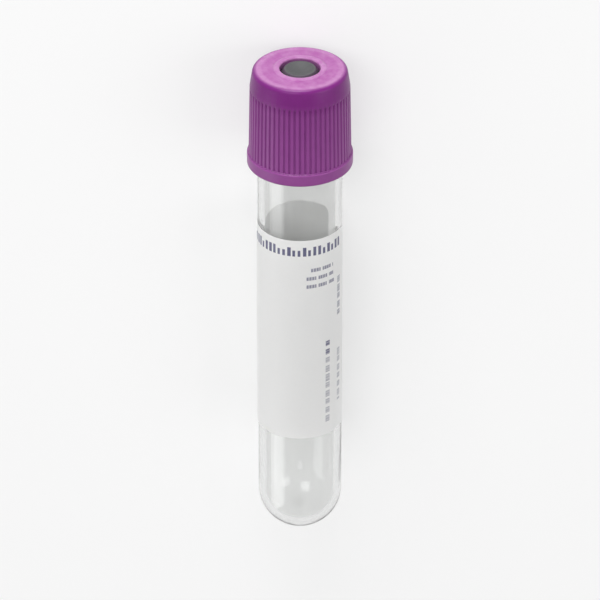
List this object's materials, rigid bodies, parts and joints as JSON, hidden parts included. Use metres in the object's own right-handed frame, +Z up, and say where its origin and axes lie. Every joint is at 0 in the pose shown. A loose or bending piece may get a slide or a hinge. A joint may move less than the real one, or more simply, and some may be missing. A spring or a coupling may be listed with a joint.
{
  "type": "blood collection tube",
  "caption": "Clear round-bottomed plastic tube with a wrapped white label, a grey rubber stopper and a ribbed purple pull-off cap, lying on its side.",
  "frame": {"origin": "on the surface that the tube lies on, under the middle of its bounding box", "axes": "+X runs along the tube towards its cap, +Y across it and +Z up; the tube's own axis rises 1.55 degrees towards the cap, because the cap is wider than the tube"},
  "size_m": [0.0814, 0.0162, 0.0162],
  "materials": {
    "clear_plastic": "clear, glossy, moulded",
    "label_paper": "white, satin, printed in slate blue",
    "stopper_rubber": "grey, matte",
    "cap_plastic": "purple, satin gloss, slightly translucent"
  },
  "bodies": {
    "tube_body": {"tube": "clear_plastic", "label": "label_paper"},
    "closure": {"cap_shield": "cap_plastic", "stopper": "stopper_rubber"}
  },
  "joints": [
    {"name": "closure_pull", "type": "slide", "parent": "tube_body", "child": "closure", "axis": [0.9996, 0, 0.0271], "range_m": [0, 0.03]}
  ]
}
